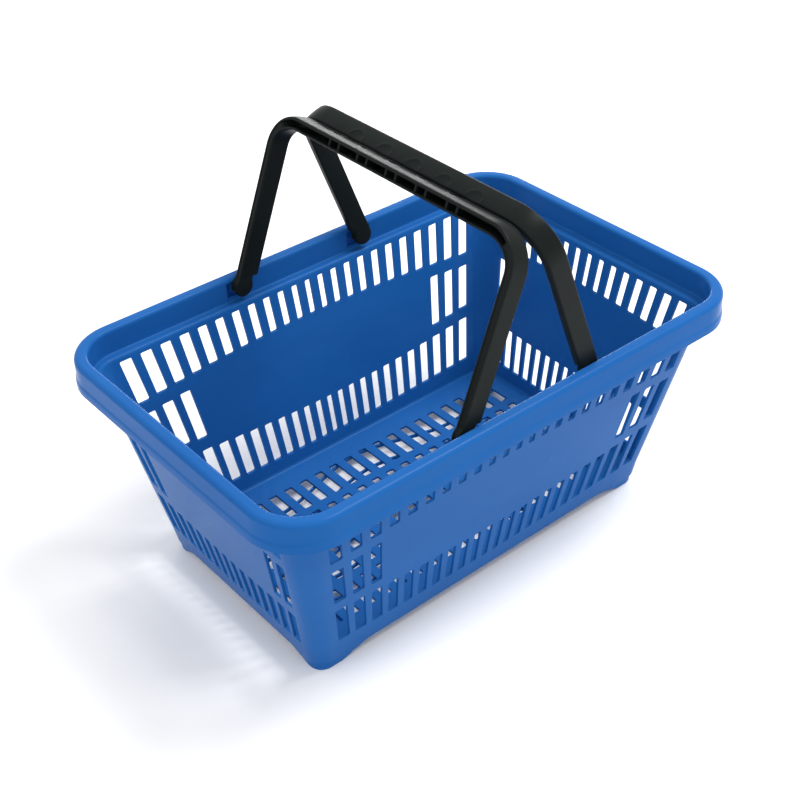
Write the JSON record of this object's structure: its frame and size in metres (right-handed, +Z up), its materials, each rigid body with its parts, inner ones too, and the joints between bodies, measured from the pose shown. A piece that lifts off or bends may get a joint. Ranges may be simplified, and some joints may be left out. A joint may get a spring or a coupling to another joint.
{
  "type": "shopping basket",
  "caption": "Rectangular slotted hand basket with a rolled rim, drafted walls, corner feet and two bail handles that fold down into the rim.",
  "frame": {"origin": "on the ground under the middle of the footprint", "axes": "+X along the long side, +Y across the basket, +Z up; the camera-side long wall is on -Y"},
  "size_m": [0.48, 0.315, 0.3505],
  "materials": {
    "tub_plastic": "satin moulded polypropylene, mid blue",
    "handle_plastic": "satin moulded polypropylene, near black"
  },
  "bodies": {
    "basket": {"floor_grille": "tub_plastic", "floor_rib_frame": "tub_plastic", "near_long_wall": "tub_plastic", "far_long_wall": "tub_plastic", "right_short_wall": "tub_plastic", "left_short_wall": "tub_plastic", "near_long_rim": "tub_plastic", "far_long_rim": "tub_plastic", "right_short_rim": "tub_plastic", "left_short_rim": "tub_plastic", "near_left_corner": "tub_plastic", "near_left_rim_corner": "tub_plastic", "near_left_foot": "tub_plastic", "near_left_pivot_socket": "tub_plastic", "near_right_corner": "tub_plastic", "near_right_rim_corner": "tub_plastic", "near_right_foot": "tub_plastic", "near_right_pivot_socket": "tub_plastic", "far_right_corner": "tub_plastic", "far_right_rim_corner": "tub_plastic", "far_right_foot": "tub_plastic", "far_right_pivot_socket": "tub_plastic", "far_left_corner": "tub_plastic", "far_left_rim_corner": "tub_plastic", "far_left_foot": "tub_plastic", "far_left_pivot_socket": "tub_plastic"},
    "left_handle": {"left_handle_grip": "handle_plastic", "left_handle_far_arm": "handle_plastic", "left_handle_near_arm": "handle_plastic", "left_handle_far_trunnion": "handle_plastic", "left_handle_near_trunnion": "handle_plastic"},
    "right_handle": {"right_handle_grip": "handle_plastic", "right_handle_far_arm": "handle_plastic", "right_handle_near_arm": "handle_plastic", "right_handle_far_trunnion": "handle_plastic", "right_handle_near_trunnion": "handle_plastic"}
  },
  "joints": [
    {"name": "left_handle_hinge", "type": "hinge", "parent": "basket", "child": "left_handle", "pos_m": [-0.066, 0, 0.201], "axis": [0, -1, 0], "range_deg": [0, 110.8]},
    {"name": "right_handle_hinge", "type": "hinge", "parent": "basket", "child": "right_handle", "pos_m": [0.066, 0, 0.201], "axis": [0, 1, 0], "range_deg": [0, 110.8]}
  ]
}
